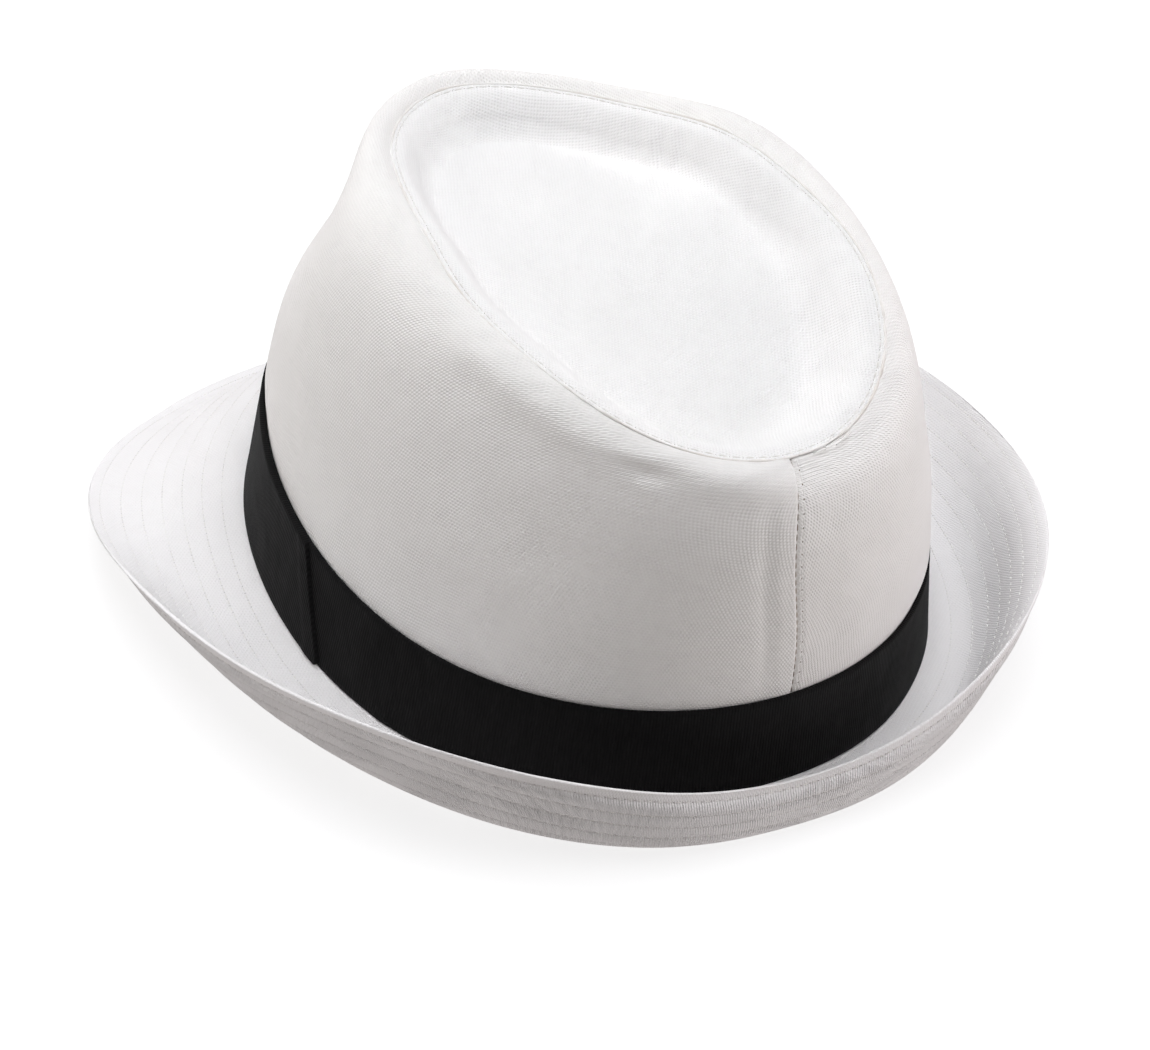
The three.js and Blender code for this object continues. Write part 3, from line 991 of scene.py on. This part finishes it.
# Ribbon
ribbonLook = {
    "rows": 22,
    "clothWidth": 26.5,    # mm, on its map
    "lapLow": 100.0,       # degrees from the front where the joint meets the brim
    "lapHigh": 88.9,       # and where it meets the ribbon's upper edge
    "leanReach": 16.0,     # degrees over which the columns lean with the joint
    "step": 0.75,          # mm
    "foldStep": 0.22,      # of the end that is folded under
    "foldLength": 3.2,     # degrees
    "lapLength": 22.0,
    "fade": 40.0,
    "wrinkle": 0.10,
    "edge": 0.10,
    "drag": 0.35,          # slanting folds behind the joint
    "lowDrag": 0.25,
    "ribPitch": 0.8,
    "softDepth": 0.0011,   # m
    "ribDepth": 0.00010,
    "fuzzDepth": 0.00004,
    # rib colours: darker between the ribs and lighter on their crowns is painted shade
    "dark": (0.002, 0.002, 0.0022),
    "light": (0.0062, 0.006, 0.0062),
    "dust": (0.30, 0.29, 0.28),
    "gloss": {"Specular IOR Level": 0.12, "Sheen Weight": 0.02, "Sheen Roughness": 0.4},
}


def ribbonGrid():
    # columns lean with the joint near it
    base = np.concatenate([
        np.linspace(-180, 91.5, 430)[:-1],
        np.linspace(91.5, 94.1, 14)[:-1],
        [94.1, 94.3, 94.4, 94.45, 94.5, 94.6, 94.8],
        np.linspace(95.0, 98, 12),
        np.linspace(98, 180, 130)[1:],
    ])
    t = np.linspace(0, 1, ribbonLook["rows"])
    middle = 0.5 * (ribbonLook["lapLow"] + ribbonLook["lapHigh"])
    slant = (ribbonLook["lapLow"] - ribbonLook["lapHigh"]) * (0.5 - t)
    # the corner at the lower end of the joint is cut round
    slant = slant - 0.9 * np.clip(1 - t / 0.07, 0, 1) ** 2
    near = 1 / (1 + ((base - middle) / ribbonLook["leanReach"]) ** 2)
    turned = base[None, :] + slant[:, None] * near[None, :]
    return base, t, turned * degree, middle


def buildRibbon(material):
    base, t, angle, middle = ribbonGrid()
    ahead = middle - base
    up = t[:, None]
    fade = 1 - smooth((ahead - ribbonLook["lapLength"]) / ribbonLook["fade"])
    step = np.where(ahead > 0, ribbonLook["step"] * fade, 0) * smooth(np.clip(ahead + 0.02, 0, 1) / 0.22)
    # the front end is folded under, so it is thicker for a few millimetres
    folded = between(ahead, 0, 0.2, ribbonLook["foldLength"], 1.2)
    step = step + np.where(ahead > 0, ribbonLook["foldStep"], 0) * folded
    x, y = roundAbout(angle, 7.0)
    uneven = ribbonLook["wrinkle"] * ripple(x, y + up * 2.0, 41)
    drag = ribbonLook["drag"] * bell(base[None, :] - 104 - 9 * up, 3.2) * np.sin(math.pi * t)[:, None]
    drag = drag + ribbonLook["lowDrag"] * bell(base[None, :] - 113 - 5 * up, 2.5) * (1 - up)
    edge = ribbonLook["edge"] * (bell(t - 0.02, 0.03) + bell(t - 0.98, 0.03))[:, None]
    plain = creaseR(angle) - crownAt["lean"](angle) * up
    low = crownAt["creaseZ"](angle) + hatSizes["sewnGap"] + 0.1
    high = crownAt["creaseZ"](angle) + hatSizes["ribbonWidth"]
    z = mix(low, high, up)
    outer = laid(placed(angle, plain + step[None, :] + uneven + drag + edge, z))
    inside = np.array([0, 6, 14, len(t) - 1])
    inner = laid(placed(angle[inside], plain[inside] - hatSizes["ribbonCloth"], z[inside]))
    rings = np.concatenate([outer, inner[::-1]])
    along = lengthRound(placed(angle, creaseR(angle), 0 * angle))
    plan = np.stack([along, up * ribbonLook["clothWidth"] + 0 * along], axis=-1)
    maps = {"weave": np.concatenate([plan, plan[inside][::-1]])}
    return clothShell("ribbonBand", rings, maps, material)


def ribbonMaterial():
    material, tree, shader = newMaterial("blackRibbedRibbon")
    calc = calcIn(tree)
    u, v, vector = mapParts(tree, "weave", (1 / ribbonLook["ribPitch"], 1 / ribbonLook["ribPitch"]))
    wander = noiseIn(tree, vector, 0.05)
    u = calc("MULTIPLY_ADD", wander, 0.8, u)
    ribs = calc("ABSOLUTE", calc("SINE", calc("MULTIPLY", u, math.pi)))
    cross = calc("ABSOLUTE", calc("SINE", calc("MULTIPLY", v, math.pi * 1.9)))
    height = calc("MULTIPLY_ADD", cross, 0.25, ribs)
    fuzz = noiseIn(tree, vector, 3.0, 3.0, 0.7)
    normal = bumpIn(tree, noiseIn(tree, vector, 0.06), ribbonLook["softDepth"])
    normal = bumpIn(tree, height, ribbonLook["ribDepth"], before=normal)
    normal = bumpIn(tree, fuzz, ribbonLook["fuzzDepth"], before=normal)
    # painted shade between the ribs, lighter on their crowns
    tint = colourBetween(tree, ribs, ribbonLook["dark"], ribbonLook["light"])
    dust = noiseIn(tree, vector, 0.5, 4.0, 0.8)
    dust = calc("MULTIPLY", calc("MAXIMUM", calc("SUBTRACT", dust, 0.62), 0.0), 0.16)
    tint = colourBetween(tree, dust, tint, ribbonLook["dust"])
    tree.links.new(tint, shader.inputs["Base Color"])
    tree.links.new(normal, shader.inputs["Normal"])
    tree.links.new(calc("MULTIPLY_ADD", fuzz, 0.2, 0.68), shader.inputs["Roughness"])
    setSockets(shader, ribbonLook["gloss"])
    return material


print("materials and shapes ready")

# the wall's copy is a little warmer: painted warmth of its shade
wallCotton = cottonMaterial("whiteCottonWall", tone=(1.0, 0.993, 0.982))
topCotton = cottonMaterial("whiteCottonTop", turn=-98 * degree)
# the brim's copy is a little brighter: painted light
brimCotton = cottonMaterial("whiteCottonBrim", depth=0.6, tone=(1.01, 1.005, 1.015), rows=brimPuckers)
ribbonCloth = ribbonMaterial()
whiteThread = threadMaterial("whiteThread", (0.90, 0.89, 0.87), (0.82, 0.80, 0.77))
tanThread = threadMaterial("tanSeamThread", (0.94, 0.93, 0.915), (0.80, 0.76, 0.72))
brownThread = threadMaterial("brownSeamThread", (0.50, 0.42, 0.36), (0.17, 0.13, 0.10))
# dark dots where each stitch dips in: painted shade of the needle holes, darker on the under face and
# brownish for the crown's stitches
pitShadeAbove = threadMaterial("stitchPitShadeAbove", (0.86, 0.85, 0.85), (0.62, 0.60, 0.60))
pitShadeBelow = threadMaterial("stitchPitShadeBelow", (0.72, 0.69, 0.68), (0.42, 0.39, 0.38))
brownPitShade = threadMaterial("brownPitShade", (0.26, 0.20, 0.16), (0.14, 0.10, 0.08))

wall, wallOuter, wallSquares, wallRaw = buildWall(wallCotton)
print("side wall:", len(wall.data.polygons))
top, topOuter, topSquares, topFromSeam = buildTop(topCotton)
print("top:", len(top.data.polygons))
brim, brimUpper, brimLower, brimShares = buildBrim(brimCotton)
print("brim:", len(brim.data.polygons))
band = buildRibbon(ribbonCloth)
print("ribbon:", len(band.data.polygons))


# Stitching: sizes in mm, and the share of the pitch that each thread fills
brimThread = {
    "radius": 0.16, "sink": -0.14, "lift": 0.03, "fill": 0.76, "pit": 0.30, "pitLift": 0.05, "pitch": 2.5,
}
topThread = {
    "radius": 0.25, "sink": -0.12, "lift": 0.13, "fill": 0.78, "pit": 0.22, "pitLift": 0.02, "pitch": 3.4,
}
seamThread = {
    "radius": 0.21, "sink": -0.12, "lift": 0.04, "fill": 0.90, "pit": 0.16, "pitLift": -0.05, "count": 27,
}
backThread = {
    "radius": 0.18, "sink": -0.14, "lift": 0.04, "fill": 0.80, "pit": 0.30, "pitLift": 0.06, "count": 20,
}


def stitchCount(line, look):
    return int(round(lengthAlong(line)[-1] / look["pitch"]))


def brimStitches(name, grid, facing, pitShades):
    squares = gridSquares(grid) * facing
    rows = []
    places = np.arange(brimLook["firstRow"], brimLook["stitchRows"] - brimLook["lastGap"])
    for number, place in enumerate(places):
        k = int(np.abs(brimShares - place / brimLook["stitchRows"]).argmin())
        count = stitchCount(grid[k], brimThread)
        verts, faces, kinds = threadRow(grid[k], squares[k], count, (number * 0.37) % 1, brimThread)
        verts[:, 2] = np.maximum(verts[:, 2], 0.0)    # nothing below the table
        rows.append((verts, faces, kinds))
    return threadPiece(name, rows, [whiteThread, pitShades])


upperStitches = brimStitches("brimStitchesUpper", brimUpper, 1.0, pitShadeAbove)
lowerStitches = brimStitches("brimStitchesUnder", brimLower, -1.0, pitShadeBelow)
print("brim stitches:", len(upperStitches.data.polygons), len(lowerStitches.data.polygons))


def rowAt(wanted, distance, grid):
    # line on a grid at a distance from its first row
    return np.array([lineAt(wanted, distance[:, i], grid[:, i]) for i in range(grid.shape[1])])


def besideSeam(wanted):
    # line on the wall beside the back seam and the ways square to it, from the ribbon up to the top seam
    run = lengthRound(wallOuter).T
    keep = wallRaw[:, 0, 2] > crownAt["creaseZ"](math.pi) + hatSizes["ribbonWidth"] - 2
    return [rowAt(wanted, run, grid.swapaxes(0, 1))[keep] for grid in (wallOuter, wallSquares)]


topLine, topWay = (rowAt(topLook["stitchIn"], topFromSeam, grid) for grid in (topOuter, topSquares))
topRow = threadRow(topLine, topWay, stitchCount(topLine, topThread), 0, topThread)
backRow = threadRow(*besideSeam(wallLook["stitchAt"]), backThread["count"], 0, backThread)
crownStitches = threadPiece("crownStitches", [topRow, backRow], [whiteThread, brownPitShade])

# Seam threads that show in the two seams of the crown, and two loose ends beside the back seam
seamLook = {
    "topRadius": 0.34,
    "topLift": 0.08,
    "uneven": 0.34,
    "endRadius": 0.19,
    # loose ends: degrees round, mm down the wall from the seam and mm off it, at three places along each
    "ends": (
        ((187.3, 3.4, 0.3), (189.0, 3.1, 0.6), (191.2, 2.3, 0.5)),
        ((182.6, 1.6, 0.3), (186.6, 3.8, 0.4), (184.8, 1.0, 0.6)),
    ),
}


def seamEdgeLine():
    return 0.5 * (rowAt(0.0, topFromSeam, topOuter) + laid(wallFace(onceRound(topLook["columns"]), 1.0)))


def looseEnd(places):
    turned, down, off = np.array(places, float).T
    t = np.linspace(0, 1, 9)
    weights = np.stack([(1 - t) ** 2, 2 * t * (1 - t), t * t])
    angle = ((turned @ weights) * degree)[None, :]
    share = 1 - (down @ weights)[None, :] / wallLook["clothLength"]
    line = wallFace(angle, share) + squareTo(wallFace, angle, share) * (off @ weights)[None, :, None]
    return tube(laid(line[0]), seamLook["endRadius"], sides=5, kind=2)


topEdge = seamEdgeLine() + laidUp() * seamLook["topLift"]
uneven = ripple(*roundAbout(onceRound(topLook["columns"]), 1.1), 51)
verts, faces, _ = threadRow(*besideSeam(0.0), seamThread["count"], 0, seamThread)
seamRows = [
    tube(topEdge, seamLook["topRadius"] * (1 + seamLook["uneven"] * uneven)),
    (verts, faces, [1] * len(faces)),
    *(looseEnd(end) for end in seamLook["ends"]),
]
seams = threadPiece("seamThreads", seamRows, [tanThread, brownThread, whiteThread])
print("crown stitches:", len(crownStitches.data.polygons), len(seams.data.polygons))

# What each piece is, what it stands for and where it rides
woven = ((wall, "crown_side", "white_cotton_side"), (top, "crown_top", "white_cotton_top"),
         (brim, "brim", "white_cotton_brim"), (band, "hat_band", "black_ribbon"))
for piece, node, slot in woven:
    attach(piece, "root")
    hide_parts(node)
for piece, slot in ((upperStitches, "white_cotton_brim"), (lowerStitches, "white_cotton_brim"),
                    (crownStitches, "white_cotton_side"), (seams, "white_cotton_side")):
    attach(piece, "root")


# Floor and studio light
studio = {
    "floorSize": 14.0,
    "floorColour": (0.36, 0.36, 0.362),
    "floorGlow": 0.735,
    "lowGlow": 0.59,      # light that comes up from below the hat, gone between these heights
    "glowHeights": (-0.16, 0.10),
    "glowColour": (1.0, 0.945, 0.930),
    # watts, size, metres to the left of the camera's view, away from the camera and up, and colour
    "softboxes": {
        "overheadSoftbox": (18.6, 1.4, (0.0, 0.0, 1.5), (0.968, 0.975, 1.0)),
        "overheadFarSoftbox": (3.9, 1.2, (0.0, 0.7, 1.3), (0.968, 0.975, 1.0)),
        "leftSoftbox": (3.8, 0.6, (1.3, 0.0, 0.45), (1.0, 0.985, 0.98)),
        "leftFarSoftbox": (4.4, 0.7, (1.0, 0.8, 0.5), (1.0, 0.985, 0.98)),
        "rightSoftbox": (7.0, 0.6, (-1.3, 0.0, 0.25), (1.0, 0.950, 0.965)),
        "nearSoftbox": (2.2, 0.9, (0.0, -1.2, 0.9), (1.0, 0.975, 0.96)),
    },
}


def addFloor():
    half = studio["floorSize"] / 2
    mesh = bpy.data.meshes.new("studioFloor")
    corners = [(-half, -half, 0), (half, -half, 0), (half, half, 0), (-half, half, 0)]
    mesh.from_pydata(corners, [], [(0, 1, 2, 3)])
    material, _, shader = newMaterial("paleFloor")
    setSockets(shader, {
        "Base Color": (*studio["floorColour"], 1),
        "Roughness": 0.95,
        "Specular IOR Level": 0.0,
        "Emission Color": (1, 1, 1, 1),
        "Emission Strength": studio["floorGlow"],
    })
    mesh.materials.append(material)
    floor = addObject("studioFloor", mesh)
    return floor


def addSoftbox(name, watts, size, place, colour):
    left, away, up = place
    a = cameraLook["azimuth"] * degree
    x = left * -math.cos(a) - away * math.sin(a)
    y = left * -math.sin(a) + away * math.cos(a)
    data = bpy.data.lights.new(name, "AREA")
    data.shape = "SQUARE"
    data.size = size
    data.energy = watts
    data.color = colour
    light = addObject(name, data)
    aim = Vector((-x, -y, 0.05 - up))
    light.rotation_euler = aim.to_track_quat("-Z", "Y").to_euler()
    light.location = (x, y, up)


def addGlow():
    # plain glow that is strongest from below and gone a little above the level
    world = bpy.data.worlds.new("softStudioGlow")
    world.use_nodes = True
    bpy.context.scene.world = world
    tree = world.node_tree
    tree.nodes.clear()
    output = tree.nodes.new("ShaderNodeOutputWorld")
    glow = tree.nodes.new("ShaderNodeBackground")
    place = tree.nodes.new("ShaderNodeTexCoord")
    parts = tree.nodes.new("ShaderNodeSeparateXYZ")
    ramp = tree.nodes.new("ShaderNodeMapRange")
    low, high = studio["glowHeights"]
    setSockets(ramp, {"From Min": low, "From Max": high, "To Min": studio["lowGlow"], "To Max": 0.0})
    tree.links.new(place.outputs["Generated"], parts.inputs["Vector"])
    tree.links.new(parts.outputs["Z"], ramp.inputs["Value"])
    tree.links.new(ramp.outputs["Result"], glow.inputs["Strength"])
    setSockets(glow, {"Color": (*studio["glowColour"], 1)})
    tree.links.new(glow.outputs["Background"], output.inputs["Surface"])


floor = addFloor()
floor.visible_diffuse = False    # the low glow takes the place of the light that the floor throws back
floor.visible_shadow = False
for name, values in studio["softboxes"].items():
    addSoftbox(name, *values)
addGlow()
bpy.context.scene.view_settings.view_transform = "Standard"
print("studio ready")
